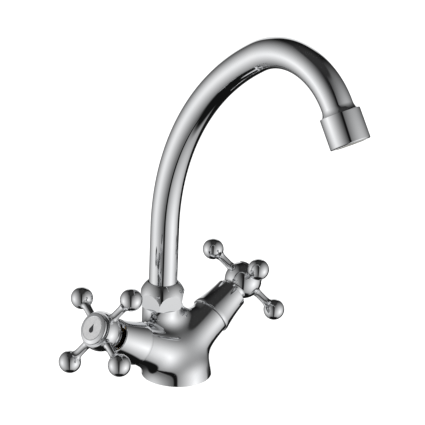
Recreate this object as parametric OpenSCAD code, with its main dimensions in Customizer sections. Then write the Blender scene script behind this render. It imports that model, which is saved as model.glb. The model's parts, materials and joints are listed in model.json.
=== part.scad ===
// Basin mixer tap with two cross handles and a swivelling swan-neck spout.
// The origin is the centre of the base on the deck. +Z is up, the spout points to -Y,
// the hot valve is on -X and the cold valve on +X.

/* [Base and body] */
// Diameter of the base on the deck
base_d = 50; // [44:0.5:60]
// Draft of the base wall, on the radius
base_draft = 1.5; // [0.5:0.1:3]
// Height of the base wall, and of the shoulder's centre
waist_z = 5; // [4:0.5:12]
// Radius of the round shoulder over the base wall
shoulder_r = 13; // [8:0.5:18]
// Height at which the sloping top of the base would meet the centre line
cone_top = 35; // [30:0.5:42]
// Chamfer on the lower edge of the base
base_edge = 0.8; // [0.4:0.1:1.5]
// Distance of the neck behind the centre of the base
neck_y = 16.5; // [14:0.5:20]
// Height of the neck's shoulder, where the nut stands
neck_top = 45.5; // [42:0.5:56]
// Height of the round heel under the neck
heel_z = 16; // [14:0.5:19]
// Wall of the neck outside the thread of the nut
neck_wall = 2.8; // [1.5:0.1:4]
// Height of the threaded stub inside the nut
stub_h = 8; // [6:0.5:10]
// Height of the floor of the mixing chamber
mix_z = 20; // [18:0.5:22]

/* [Deck fixings] */
// Diameter of the tapped hole for the fixing stud
stud_d = 6.8; // [5:0.1:8.5]
// Depth of the fixing stud's hole
stud_depth = 14; // [10:0.5:16]
// Distance of the fixing stud in front of the base centre
stud_y = 12; // [11:0.5:15]
// Diameter of each tapped inlet
inlet_d = 9; // [7:0.1:10]
// Depth of each tapped inlet
inlet_depth = 10; // [8:0.5:12]
// Distance of each inlet from the centre plane
inlet_x = 9; // [8:0.5:10]
// Distance of the inlets behind the base centre
inlet_y = 3; // [2:0.5:5]
// Diameter of the drilled waterways
way_d = 7; // [5:0.5:8]
// Distance of the base seal inside the edge of the base
seal_inset = 2.5; // [2:0.1:3.5]
// Width of the base seal
seal_w = 3; // [2:0.1:3.5]
// Thickness of the base seal
seal_t = 2; // [1.5:0.1:3]

/* [Spout] */
// Outer diameter of the spout tube
tube_d = 20; // [16:0.5:25]
// Wall of the spout tube
tube_wall = 1; // [0.8:0.1:1.5]
// Height at which the tube starts to bend
bend_z = 103.5; // [85:0.5:130]
// Radius of the long bow at the tube's middle
bow_r = 161.5; // [130:0.5:200]
// Angle of the long bow
bow_angle = 59.25; // [50:0.25:65]
// Radius of the crook over the basin
crook_r = 48.5; // [40:0.5:60]
// Angle of the crook
crook_angle = 89.5; // [75:0.5:107]
// Turn of the spout to each side
swivel = 60; // [30:1:75]

/* [Spout seat and nut] */
// Height of the nut
nut_h = 18; // [16:0.5:22]
// Stand-out of the nut's ball beyond the neck
nut_proud = 2.1; // [1.5:0.1:4]
// Height of the ball's centre above the foot of the nut
nut_ball_z = 5.6; // [4:0.1:8]
// Wall of the nut outside its thread, at the foot of a flat
nut_wall = 2; // [1.5:0.1:3]
// Lean of the flats, in degrees
nut_lean = 8; // [4:0.5:12]
// Turn of the nut's first corner from +X
nut_turn = 40; // [0:1:60]
// Thickness of the spigot's flange
flange_t = 3; // [2:0.1:3]
// Thickness of the slip washer under the flange
slip_t = 0.5; // [0.4:0.1:0.6]
// Step from the tube's radius down to the spigot's
spigot_step = 1.6; // [1.4:0.1:2]
// Wall of the threaded stub outside the tube's radius
stub_step = 1.4; // [1.2:0.1:2]
// Wall of the spigot
spigot_wall = 2.4; // [2.2:0.1:3]
// Depth of the stop screw's slot in the spigot
slot_depth = 1.4; // [1:0.1:1.6]
// Depth to which the spigot reaches below the neck's shoulder
spigot_depth = 19; // [17:0.5:21]
// Length of the spigot's socket inside the tube
socket_len = 8; // [5:0.5:12]
// Thickness of the spout O-rings
oring_t = 2; // [1.5:0.1:2.4]
// Diameter of the stop screw
stop_d = 5; // [4:0.5:6]
// Diameter of the stop screw's point
point_d = 3; // [2:0.5:3.5]
// Depth of the stop screw below the neck's shoulder
stop_drop = 3.5; // [3.3:0.1:4.5]
// Direction of the stop screw from +X
stop_turn = 206; // [190:1:350]

/* [Aerator] */
// Wall of the aerator housing outside its thread
housing_wall = 1.9; // [1.5:0.1:3]
// Length of the aerator housing
aerator_len = 20; // [17:0.5:26]
// Length of the collar's flare between tube and housing
flare_len = 4.4; // [3:0.2:6]
// Growth of the tube's radius over the flare
flare_out = 1.5; // [1.2:0.1:2.5]
// Length of the collar's plug inside the tube
collar_plug = 6; // [4:0.5:8]
// Step from the tube's radius up to the outlet thread's
outlet_step = 1; // [0.8:0.1:1.2]
// Length of the thread between collar and housing
outlet_thread_len = 7; // [5:0.5:9]
// Thickness of the aerator washer
washer_t = 2; // [1:0.1:2.5]
// Thickness of the screen over the outlet
screen_t = 0.8; // [0.5:0.1:1.2]

/* [Valves] */
// Distance of the valve axes behind the base centre
valve_y = 4; // [2:0.5:6]
// Height at which the two valve axes cross
valve_z = 10.5; // [10:0.5:13]
// Rise of the valve axes above the deck, in degrees
valve_tilt = 30; // [25:0.5:40]
// Distance along the valve axis to the mouth of the arm
arm_len = 42; // [40:0.5:52]
// Diameter of the body's arm at its mouth
arm_d = 28.4; // [24:0.2:34]
// Growth of the arm's radius towards the body
arm_flare = 7.5; // [4:0.5:9]
// Wall of the arm outside the valve thread
thread_wall = 3.8; // [3.6:0.1:6]
// Length of the valve thread
thread_len = 11; // [9:0.5:13]
// Step from the valve thread's radius down to the chamber's
chamber_step = 1.1; // [1:0.1:1.5]
// Depth of the valve chamber
chamber_len = 14; // [14:0.5:15]
// Thickness of the seat seal
seat_t = 2.5; // [2:0.1:2.6]
// Wall of the cage around the ceramic discs
cage_wall = 1; // [0.8:0.1:1.2]
// Thickness of each ceramic disc
disc_t = 3; // [2.4:0.1:3]
// Thickness of the driving head of the spindle
head_t = 3.4; // [2.5:0.1:3.4]
// Thickness of the thrust washer
thrust_t = 0.5; // [0.4:0.1:0.6]
// Diameter of the spindle
spindle_d = 10; // [8:0.1:10.5]
// Step from the spindle's radius down to the spline's
spline_step = 1; // [0.8:0.1:1.5]
// Number of spline teeth
teeth = 20; // [12:1:24]
// Thickness of the fibre washer under the bonnet
fibre_t = 0.8; // [0.5:0.1:1.5]
// Thickness of the bonnet's hexagon
hex_t = 4; // [3:0.5:5]
// Wall of the bonnet's upper neck around the spindle
stem_wall = 3; // [2:0.1:3.5]
// Length of the bonnet's upper neck
stem_len = 10; // [8:0.5:11]

/* [Shrouds] */
// Wall of the shroud's lip around the arm
lip_wall = 0.8; // [0.6:0.1:2]
// Overlap of the lip over the arm
lip_len = 1; // [0.5:0.1:2]
// Taper of the shroud from lip to mouth, on the radius
shroud_taper = 3; // [2:0.1:3.4]
// Length of the shroud above the arm
shroud_len = 23.5; // [22:0.5:26]
// Wall of the shroud
shroud_wall = 1.4; // [1:0.1:2]
// Step from the arm's radius down to the shroud's cavity
shroud_ledge = 1.2; // [1:0.1:1.4]
// Hollow in the side of the shroud
shroud_sag = 0.5; // [0:0.1:0.8]

/* [Handles] */
// Diameter of the handle hub's ball
hub_d = 27; // [25:0.5:31]
// Distance from the arm's mouth to the centre of the hub
hub_reach = 37; // [35:0.5:40]
// Distance of the hub's front face from its centre
hub_front = 5.6; // [5:0.1:6.5]
// Gap between the hub's collar and the shroud's inner wall
collar_gap = 1.6; // [1:0.1:2.5]
// Radius of the circle through the balls
ball_reach = 31; // [28:0.5:38]
// Diameter of each ball
ball_d = 15.2; // [12:0.2:18]
// Diameter of each handle arm
rod_d = 5.6; // [4.5:0.1:6.5]
// Angle of the hot handle's first arm when closed
hot_rest = 61.8; // [0:0.1:90]
// Angle of the cold handle's first arm when closed
cold_rest = 48.4; // [0:0.1:90]
// Width of the hub's front face outside the index bezel
bezel_inset = 1.4; // [1:0.1:2.5]
// Height of the index bezel above the hub's front face
bezel_h = 3.4; // [2.5:0.1:4]
// Width of the bezel around the index disc
bezel_w = 3.1; // [2.6:0.1:4]

/* [Hidden] */
$fn = 96;
eps = 0.01;
// Radial clearance of a turning fit
run_fit = 0.05;
// Gap between pieces that pass without touching
free_gap = 0.3;
// Axial gap between faces that slide on each other
face_gap = 0.1;
// Slack of an O-ring in the bore that it seals
oring_fit = 0.03;
// How far a cutter runs past the face that it cuts
over = 1;
// Side of a block that cuts everything on one side of a plane
cut = 150;

chrome = [0.80, 0.81, 0.83];
raw_brass = [0.78, 0.62, 0.32];
ceramic = [0.94, 0.93, 0.90];
rubber = [0.12, 0.12, 0.13];
nylon = [0.90, 0.90, 0.86];
fibre = [0.55, 0.22, 0.16];
hot = -1;
cold = 1;

base_r = base_d / 2;
waist_r = base_r - base_draft;
shoulder_c = waist_r - shoulder_r;
// Where the sloping top leaves the round shoulder: the tangent from its apex
cone_rise = cone_top - waist_z;
cone_turn = atan2(cone_rise, -shoulder_c) - acos(shoulder_r / norm([shoulder_c, cone_rise]));
cone_foot = [shoulder_c, waist_z] + shoulder_r * [cos(cone_turn), sin(cone_turn)];
seal_r = base_r - seal_inset;
seal_ir = seal_r - seal_w;

// Radii of the spout seat, from the tube outwards
tube_r = tube_d / 2;
tube_ir = tube_r - tube_wall;
spigot_r = tube_r - spigot_step;
neck_bore_r = spigot_r + run_fit;
stub_r = tube_r + stub_step;
neck_r = stub_r + neck_wall;
flange_r = stub_r - free_gap - 0.1;
nut_ball_r = neck_r + nut_proud;
nut_flat_r = stub_r + nut_wall;

// Heights of the spout seat
stub_top = neck_top + stub_h;
flange_z = stub_top + slip_t + face_gap;
tube_foot = flange_z + flange_t;
nut_roof = tube_foot + face_gap;
nut_top = neck_top + nut_h;
spigot_foot = neck_top - spigot_depth;
spigot_ir = spigot_r - spigot_wall;
stop_z = neck_top - stop_drop;

// Seats of the spout O-rings
oring_seat_r = spigot_r - oring_t * 0.85;
oring_groove = oring_t * 1.3;
oring_foot = 2.5;
oring_pitch = 4.5;
function oring_z(k) = spigot_foot + oring_foot + oring_pitch * k;

// The tube's centre line, in the plane of the neck
bow_centre = [neck_y - bow_r, bend_z];
crook_centre = bow_centre + (bow_r - crook_r) * [cos(bow_angle), sin(bow_angle)];
end_angle = bow_angle + crook_angle;
tube_end = crook_centre + crook_r * [cos(end_angle), sin(end_angle)];

// The outlet, measured from the end of the tube along the flow
housing_z = flare_len;
outlet_thread_r = tube_r + outlet_step;
flare_r = tube_r + flare_out;
housing_r = outlet_thread_r + housing_wall;
washer_z = housing_z + outlet_thread_len;
straight_z = washer_z + washer_t;
housing_end = housing_z + aerator_len;
lip_t = 1;
screen_z = housing_end - lip_t - screen_t;
straight_r = outlet_thread_r - 0.6;
rim_t = 1;
collar_wall = 1.6;
outlet_bore_r = tube_ir - collar_wall;

// Stations along a valve axis, measured from the crossing point
arm_r = arm_d / 2;
thread_r = arm_r - thread_wall;
chamber_r = thread_r - chamber_step;
seat_s = arm_len - thread_len - chamber_len;
way_reach = 9;
cage_s = seat_s + seat_t;
moving_s = cage_s + disc_t + 0.05;
head_s = moving_s + disc_t;
thrust_s = head_s + head_t + 0.05;
shoulder_s = thrust_s + thrust_t;
hex_s = arm_len + fibre_t;
stem_s = hex_s + hex_t;
stem_top = stem_s + stem_len;
clip_s = stem_top + 0.2;
clip_t = 1;
spline_s = clip_s + clip_t + 0.8;
cage_r = chamber_r - free_gap - 0.1;
disc_r = cage_r - cage_wall;
spindle_r = spindle_d / 2;
spline_r = spindle_r - spline_step;
spline_depth = 0.45;
stem_r = spindle_r + stem_wall;
cavity_r = arm_r - shroud_ledge;
hex_r = cavity_r - free_gap;
spindle_bore_r = spindle_r + run_fit;
oring_s = arm_len - 4;
groove_w = 1.6;
groove_r = spindle_r - 1.25;
clip_groove_r = spindle_r - 0.8;
clip_r = spindle_r + 1.3;

// The screw that holds the hub on the spindle
screw_r = 2;
screw_len = 9;
screw_head_r = 3.9;
screw_head_h = 2.6;

// Stations of the shroud and the handle on the same axis
shroud_r = arm_r + lip_wall;
mouth_r = shroud_r - shroud_taper;
mouth_ir = mouth_r - shroud_wall;
mouth_s = arm_len + shroud_len;
web_s = stem_s + 2;
web_t = 3;
hub_s = arm_len + hub_reach;
rod_s = hub_s + 0.5;
hub_r = hub_d / 2;
collar_s = mouth_s - 2.5;
collar_r = mouth_ir - collar_gap;
front_s = hub_s + hub_front;
screw_seat_s = hub_s - 3;
spline_end = screw_seat_s - 2.8;
bezel_bore_s = front_s - 3;
bezel_r = sqrt(pow(hub_r, 2) - pow(hub_front, 2)) - bezel_inset;
bezel_bore_r = bezel_r - 1.7;
rod_seat = hub_r - 0.5;
rod_r = rod_d / 2;
rod_stub_r = rod_r - 0.3;
rod_root_r = rod_r + 0.5;
rod_foot = bezel_bore_r + 0.4;
ball_r = ball_d / 2;
index_r = bezel_r - bezel_w;
bezel_top = front_s + bezel_h;
index_sink = 1;

// Places children on a valve axis, +Z along it, away from the body
module on_valve(side) {
    translate([0, valve_y, valve_z])
        rotate([0, side * (90 - valve_tilt), 0])
            children();
}

// Places children on the handle of one side, turned to its closed position
module on_handle(side) {
    on_valve(side)
        rotate([0, 0, side == hot ? hot_rest : cold_rest])
            children();
}

// Places children on the neck's axis
module on_neck() {
    translate([0, neck_y, 0])
        children();
}

// Places children at the end of the tube, +Z along the flow
module at_outlet() {
    translate([0, tube_end[0], tube_end[1]])
        rotate([end_angle, 0, 0])
            children();
}

// A round bar or hole between two stations
module bar(r, from, to) {
    translate([0, 0, from])
        cylinder(r = r, h = to - from);
}

// A ring between two stations
module ring(r_out, r_in, from, to) {
    difference() {
        bar(r_out, from, to);
        bar(r_in, from - over, to + over);
    }
}

// The outline of a splined shaft
module spline_outline() {
    step = 360 / teeth;
    polygon([
        for (k = [0 : teeth - 1], e = [[0, 0], [0.25, 0], [0.5, 1], [0.75, 1]])
            let (r = spline_r - spline_depth * e[1], a = (k + e[0]) * step)
                [r * cos(a), r * sin(a)]
    ]);
}

// ---- Body ----

function arm_radius(s) = arm_r + arm_flare * pow((arm_len - s) / arm_len, 2);

module base_block() {
    land = 1;
    rotate_extrude() {
        polygon([
            [0, 0], [base_r - base_edge, 0], [base_r, base_edge], [base_r, base_edge + land],
            [waist_r, waist_z], [shoulder_c, waist_z], cone_foot, [0, cone_top],
        ]);
        intersection() {
            translate([shoulder_c, waist_z])
                circle(r = shoulder_r);
            translate([0, waist_z])
                square([base_r, shoulder_r]);
        }
    }
}

module neck_block() {
    on_neck()
        rotate_extrude() {
            translate([0, heel_z])
                square([neck_r, neck_top - heel_z]);
            intersection() {
                translate([0, heel_z])
                    circle(r = neck_r);
                translate([0, heel_z - neck_r])
                    square([neck_r, neck_r]);
            }
            translate([0, neck_top - eps])
                square([stub_r, stub_h + eps]);
        }
}

module arm_block(side) {
    steps = 7;
    on_valve(side)
        rotate_extrude()
            polygon(concat(
                [[0, 0]],
                [for (k = [0 : steps]) let (s = k * arm_len / steps) [arm_radius(s), s]],
                [[0, arm_len]]
            ));
}

module valve_bores(side) {
    on_valve(side) {
        bar(thread_r, arm_len - thread_len, arm_len + over);
        bar(chamber_r, seat_s, arm_len);
        bar(way_d / 2, seat_s - way_reach, seat_s + over);
    }
    translate([side * inlet_x, inlet_y, 0]) {
        bar(inlet_d / 2, -1, inlet_depth);
        bar(way_d / 2, 0, valve_z + inlet_x * tan(valve_tilt));
    }
}

// The oblique drilling from a valve chamber to the mixing chamber
module outlet_way(side) {
    s = seat_s + chamber_len / 2;
    valve_end = [side * s * cos(valve_tilt), valve_y, valve_z + s * sin(valve_tilt)];
    neck_end = [0, neck_y, mix_z + way_d / 2];
    v = valve_end - neck_end;
    run = norm(v);
    translate(neck_end)
        rotate([0, acos(v[2] / run), atan2(v[1], v[0])])
            cylinder(d = way_d, h = run);
}

module body_casting() {
    color(chrome)
        difference() {
            union() {
                base_block();
                neck_block();
                arm_block(hot);
                arm_block(cold);
            }
            translate([-cut / 2, -cut / 2, -cut])
                cube(cut);
            for (side = [hot, cold]) {
                valve_bores(side);
                outlet_way(side);
            }
            on_neck() {
                bar(neck_bore_r, mix_z, stub_top + over);
                translate([0, 0, stop_z])
                    rotate([0, 90, stop_turn])
                        cylinder(d = stop_d, h = neck_r + 5);
            }
            translate([0, -stud_y, 0])
                bar(stud_d / 2, -1, stud_depth);
            ring(seal_r, seal_ir, -1, seal_t);
        }
}

module base_seal() {
    color(rubber)
        ring(seal_r, seal_ir, 0, seal_t);
}

// ---- Spout seat ----

module spout_nut() {
    color(chrome)
        on_neck()
            difference() {
                intersection() {
                    rotate_extrude()
                        intersection() {
                            translate([0, neck_top + nut_ball_z])
                                circle(r = nut_ball_r);
                            translate([0, neck_top])
                                square([nut_ball_r + over, nut_h]);
                        }
                    intersection_for(k = [0 : 5])
                        rotate([0, 0, nut_turn + 30 + 60 * k])
                            translate([nut_flat_r, 0, neck_top])
                                rotate([0, nut_lean, 0])
                                    translate([-cut, -cut / 2, -cut / 2])
                                        cube(cut);
                }
                bar(stub_r, neck_top - over, nut_roof);
                bar(tube_r + free_gap, neck_top, nut_top + over);
            }
}

module stop_screw() {
    sink = 0.2;
    reach = neck_r - sink;
    tip = spigot_r - slot_depth + free_gap;
    hex_key = 2.5;
    key_depth = 2.5;
    color(chrome)
        on_neck()
            translate([0, 0, stop_z])
                rotate([0, 90, stop_turn])
                    difference() {
                        union() {
                            bar(stop_d / 2, neck_bore_r + free_gap, reach);
                            bar(point_d / 2, tip, neck_bore_r + free_gap + eps);
                        }
                        translate([0, 0, reach - key_depth])
                            cylinder(d = hex_key / cos(30), h = key_depth + over, $fn = 6);
                    }
}

module spout_spigot() {
    stop_half = (point_d / 2 + free_gap) / spigot_r * 180 / PI;
    sweep = 2 * (swivel + stop_half);
    color(raw_brass)
        on_neck()
            difference() {
                union() {
                    bar(spigot_r, spigot_foot, flange_z + eps);
                    bar(flange_r, flange_z, tube_foot);
                    bar(tube_ir, tube_foot - eps, tube_foot + socket_len);
                }
                bar(spigot_ir, spigot_foot - over, tube_foot + socket_len + over);
                for (k = [0, 1])
                    translate([0, 0, oring_z(k)])
                        ring(spigot_r + over, oring_seat_r, -oring_groove / 2, oring_groove / 2);
                translate([0, 0, stop_z])
                    rotate([0, 0, stop_turn - sweep / 2])
                        rotate_extrude(angle = sweep)
                            translate([spigot_r - slot_depth, -point_d / 2 - free_gap])
                                square([slot_depth + over, point_d + 2 * free_gap]);
            }
}

module spout_orings() {
    r = (neck_bore_r - oring_fit - oring_seat_r) / 2;
    color(rubber)
        on_neck()
            for (k = [0, 1])
                translate([0, 0, oring_z(k)])
                    rotate_extrude()
                        translate([oring_seat_r + r, 0])
                            circle(r = r);
}

module slip_washer() {
    inset = 0.2;
    color(nylon)
        on_neck()
            ring(stub_r - inset, spigot_r + free_gap, stub_top, stub_top + slip_t);
}

// ---- Spout ----

module tube_section() {
    difference() {
        circle(r = tube_r);
        circle(r = tube_ir);
    }
}

// Places children in the plane of the bow, with its centre as the origin
module in_bow() {
    translate([0, bow_centre[0], bow_centre[1]])
        rotate(120, [1, 1, 1])
            children();
}

// A thin ring within the wall that bonds two sections of the tube at one angle of the bow
module bond(angle) {
    quarter = (tube_r - tube_ir) / 4;
    half = 0.5;
    in_bow()
        rotate([0, 0, angle])
            translate([bow_r, 0, 0])
                rotate([-90, 0, 0])
                    ring(tube_r - quarter, tube_ir + quarter, -half, half);
}

module spout_tube() {
    color(chrome)
        union() {
            on_neck()
                translate([0, 0, tube_foot])
                    linear_extrude(bend_z - tube_foot)
                        tube_section();
            in_bow()
                rotate_extrude(angle = bow_angle)
                    translate([bow_r, 0])
                        tube_section();
            translate([0, crook_centre[0], crook_centre[1]])
                rotate(120, [1, 1, 1])
                    rotate([0, 0, bow_angle])
                        rotate_extrude(angle = crook_angle)
                            translate([crook_r, 0])
                                tube_section();
            bond(0);
            bond(bow_angle);
        }
}

module outlet_collar() {
    steps = 5;
    color(chrome)
        at_outlet()
            difference() {
                union() {
                    rotate_extrude()
                        polygon(concat(
                            [[0, 0]],
                            [for (k = [0 : steps]) let (t = k / steps)
                                [tube_r + (flare_r - tube_r) * t * t, flare_len * t]],
                            [[0, housing_z]]
                        ));
                    bar(outlet_thread_r, housing_z - eps, washer_z);
                    bar(tube_ir, -collar_plug, eps);
                }
                bar(outlet_bore_r, -collar_plug - over, washer_z + over);
            }
}

module aerator_housing() {
    r = housing_r;
    top_edge = 0.4;
    low_edge = 1;
    low_break = 0.3;
    lip_w = 0.8;
    color(chrome)
        at_outlet()
            difference() {
                rotate_extrude()
                    polygon([
                        [0, housing_z], [r - top_edge, housing_z], [r, housing_z + top_edge],
                        [r, housing_end - low_edge], [r - low_break, housing_end - low_break],
                        [r - low_edge, housing_end], [0, housing_end],
                    ]);
                bar(outlet_thread_r, housing_z - over, straight_z + rim_t);
                bar(straight_r, housing_z, housing_end - lip_t);
                bar(straight_r - lip_w, housing_z, housing_end + over);
            }
}

module aerator_washer() {
    width = 3;
    color(rubber)
        at_outlet()
            ring(outlet_thread_r, outlet_thread_r - width, washer_z, straight_z);
}

module flow_straightener() {
    hole_r = 1.05;
    pitch = 3.1;
    color(nylon)
        at_outlet()
            difference() {
                union() {
                    bar(outlet_thread_r, straight_z, straight_z + rim_t);
                    bar(straight_r, straight_z, screen_z);
                }
                bar(hole_r, straight_z - over, screen_z + over);
                for (circle_no = [1, 2], k = [0 : 6 * circle_no - 1])
                    rotate([0, 0, k * 60 / circle_no])
                        translate([circle_no * pitch, 0, 0])
                            bar(hole_r, straight_z - over, screen_z + over);
            }
}

module aerator_screen() {
    cells = 3;
    cell = 3.2;
    bar_w = 0.8;
    hole = cell - bar_w;
    color(nylon)
        at_outlet()
            difference() {
                bar(straight_r, screen_z, housing_end - lip_t);
                for (i = [-cells : cells], j = [-cells : cells])
                    if (norm([i, j]) * cell < straight_r - cell)
                        translate([i * cell - hole / 2, j * cell - hole / 2, screen_z - over])
                            cube([hole, hole, screen_t + 2 * over]);
            }
}

// ---- Valves ----

module bonnet(side) {
    color(raw_brass)
        on_valve(side)
            difference() {
                union() {
                    bar(cage_r, cage_s, arm_len - thread_len + eps);
                    bar(thread_r, arm_len - thread_len, hex_s + eps);
                    translate([0, 0, hex_s])
                        cylinder(r = hex_r, h = hex_t, $fn = 6);
                    bar(stem_r, stem_s - eps, stem_top);
                }
                bar(disc_r, cage_s - over, shoulder_s);
                bar(spindle_bore_r, shoulder_s - over, stem_top + over);
                translate([0, 0, head_s + head_t / 2])
                    cube([3 * chamber_r, way_d, head_t], center = true);
            }
}

module fibre_washer(side) {
    width = 1.9;
    color(fibre)
        on_valve(side)
            ring(thread_r + width, thread_r, arm_len, hex_s);
}

module seat_seal(side) {
    color(rubber)
        on_valve(side)
            ring(cage_r - free_gap, way_d / 2, seat_s, cage_s);
}

// Two ports face each other through a ceramic disc
module disc_ports(from, to) {
    port_place = 0.52 * disc_r;
    port_r = 0.3 * disc_r;
    for (k = [0, 180])
        rotate([0, 0, k + 45])
            translate([port_place, 0, 0])
                bar(port_r, from, to);
}

module fixed_disc(side) {
    color(ceramic)
        on_valve(side)
            difference() {
                bar(disc_r, cage_s, cage_s + disc_t);
                disc_ports(cage_s - over, moving_s);
            }
}

module moving_disc(side) {
    color(ceramic)
        on_valve(side)
            difference() {
                bar(disc_r - face_gap, moving_s, head_s);
                rotate([0, 0, 90])
                    disc_ports(moving_s - over, head_s + over);
            }
}

module spindle(side) {
    color(raw_brass)
        on_handle(side)
            difference() {
                union() {
                    bar(disc_r - free_gap, head_s, head_s + head_t);
                    bar(spindle_r, head_s + over, spline_s);
                    translate([0, 0, spline_s - eps])
                        linear_extrude(spline_end - spline_s - 0.2)
                            spline_outline();
                }
                ring(spindle_r + over, groove_r, oring_s - groove_w / 2, oring_s + groove_w / 2);
                ring(spindle_r + over, clip_groove_r, clip_s, clip_s + clip_t);
                bar(screw_r, spline_end - screw_len - over, spline_end + over);
            }
}

module spindle_oring(side) {
    r = (spindle_bore_r - oring_fit - groove_r) / 2;
    color(rubber)
        on_valve(side)
            translate([0, 0, oring_s])
                rotate_extrude()
                    translate([groove_r + r, 0])
                        circle(r = r);
}

module thrust_washer(side) {
    color(nylon)
        on_valve(side)
            ring(disc_r, spindle_r + free_gap, thrust_s, shoulder_s);
}

module spindle_clip(side) {
    mouth = 3;
    color(raw_brass)
        on_handle(side)
            difference() {
                ring(clip_r, clip_groove_r, clip_s, clip_s + clip_t);
                translate([0, -mouth / 2, clip_s - over])
                    cube([2 * clip_r, mouth, clip_t + 2 * over]);
            }
}

// ---- Shrouds and handles ----

function shroud_radius(t) = shroud_r + (mouth_r - shroud_r) * t - 4 * shroud_sag * t * (1 - t);

module shroud(side) {
    steps = 6;
    edge = 0.8;
    lip_edge = 0.2;
    land = 1;
    straight = arm_len + land;
    color(chrome)
        on_valve(side)
            difference() {
                rotate_extrude()
                    polygon(concat(
                        [[0, arm_len - lip_len], [shroud_r - lip_edge, arm_len - lip_len],
                            [shroud_r, arm_len - lip_len + lip_edge]],
                        [for (k = [0 : steps]) let (t = k / steps)
                            [shroud_radius(t), straight + (mouth_s - edge - straight) * t]],
                        [[mouth_r - 0.25 * edge, mouth_s - 0.25 * edge], [mouth_r - edge, mouth_s],
                            [0, mouth_s]]
                    ));
                bar(arm_r, arm_len - lip_len - over, arm_len);
                bar(cavity_r, arm_len - over, web_s);
                bar(stem_r, arm_len, mouth_s);
                bar(mouth_ir, web_s + web_t, mouth_s + over);
            }
}

module hub(side) {
    clip_room_r = clip_r + 0.9;
    spline_bore_r = spline_r - spline_depth - 0.15;
    screw_bore_r = screw_r + 0.1;
    head_room_r = screw_head_r + 0.6;
    spline_lap = 2;
    color(chrome)
        on_handle(side)
            difference() {
                rotate_extrude()
                    difference() {
                        intersection() {
                            union() {
                                translate([0, hub_s])
                                    circle(r = hub_r);
                                translate([0, collar_s])
                                    square([collar_r, hub_s - collar_s]);
                            }
                            translate([0, collar_s])
                                square([hub_r + over, front_s - collar_s]);
                        }
                        polygon([
                            [0, collar_s - over], [clip_room_r, collar_s - over],
                            [clip_room_r, spline_s + spline_lap + over],
                            [spline_bore_r, spline_s + spline_lap + over],
                            [spline_bore_r, spline_end], [screw_bore_r, spline_end],
                            [screw_bore_r, screw_seat_s], [head_room_r, screw_seat_s],
                            [head_room_r, bezel_bore_s], [bezel_bore_r, bezel_bore_s],
                            [bezel_bore_r, front_s + over], [0, front_s + over],
                        ]);
                    }
                translate([0, 0, spline_s + spline_lap])
                    linear_extrude(spline_end - spline_s - spline_lap)
                        spline_outline();
                for (k = [0 : 3])
                    translate([0, 0, rod_s])
                        rotate([0, 90, 90 * k]) {
                            bar(rod_stub_r, rod_foot, hub_r + over);
                            bar(rod_root_r, rod_seat, hub_r + over);
                        }
            }
}

// One turned arm: a threaded stub, a waisted rod and a ball, along +Z from the hub's centre
module rod_and_ball() {
    // Distances from the hub and from the ball, each with the rod's growth there
    root = [[0.4, rod_root_r - rod_r], [1.4, 0.15], [2.6, 0]];
    tip = [[3.4, 0], [2, 0.12], [0.9, 0.4], [0, 0.9]];
    ball_foot = ball_reach - sqrt(pow(ball_r, 2) - pow(rod_r + tip[3][1], 2));
    rotate_extrude() {
        polygon(concat(
            [[0, rod_foot], [rod_stub_r, rod_foot], [rod_stub_r, rod_seat], [rod_root_r, rod_seat]],
            [for (p = root) [rod_r + p[1], rod_seat + p[0]]],
            [for (p = tip) [rod_r + p[1], ball_foot - p[0]]],
            [[0, ball_foot + over]]
        ));
        intersection() {
            translate([0, ball_reach])
                circle(r = ball_r);
            translate([0, ball_reach - ball_r])
                square([ball_r, 2 * ball_r]);
        }
    }
}

module handle_arms(side) {
    color(chrome)
        on_handle(side)
            translate([0, 0, rod_s])
                for (k = [0 : 3])
                    rotate([0, 90, 90 * k])
                        rod_and_ball();
}

module handle_screw(side) {
    slot_w = 1.2;
    color(raw_brass)
        on_handle(side)
            difference() {
                union() {
                    bar(screw_r, spline_end - screw_len, screw_seat_s + eps);
                    bar(screw_head_r, screw_seat_s, screw_seat_s + screw_head_h);
                }
                translate([-screw_head_r - over, -slot_w / 2, screw_seat_s + screw_head_h / 2])
                    cube([2 * (screw_head_r + over), slot_w, screw_head_h]);
            }
}

module bezel(side) {
    r = bezel_r;
    seat_r = index_r + 0.5;
    bevel = 0.3;
    side_h = bezel_h - 1.4;
    floor_gap = 0.5;
    hollow_r = bezel_bore_r - 1.5;
    color(chrome)
        on_handle(side)
            difference() {
                rotate_extrude()
                    polygon([
                        [0, bezel_bore_s + floor_gap], [bezel_bore_r, bezel_bore_s + floor_gap],
                        [bezel_bore_r, front_s], [r - bevel, front_s], [r, front_s + bevel],
                        [r, front_s + side_h], [r - bevel, front_s + side_h + 0.5],
                        [seat_r, bezel_top], [0, bezel_top],
                    ]);
                bar(index_r, bezel_top - index_sink, bezel_top + over);
                bar(hollow_r, bezel_bore_s, bezel_top - 2 * index_sink);
            }
}

module index_disc(side) {
    proud = 0.3;
    color(nylon)
        on_handle(side)
            bar(index_r, bezel_top - index_sink, bezel_top + proud);
}

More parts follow.
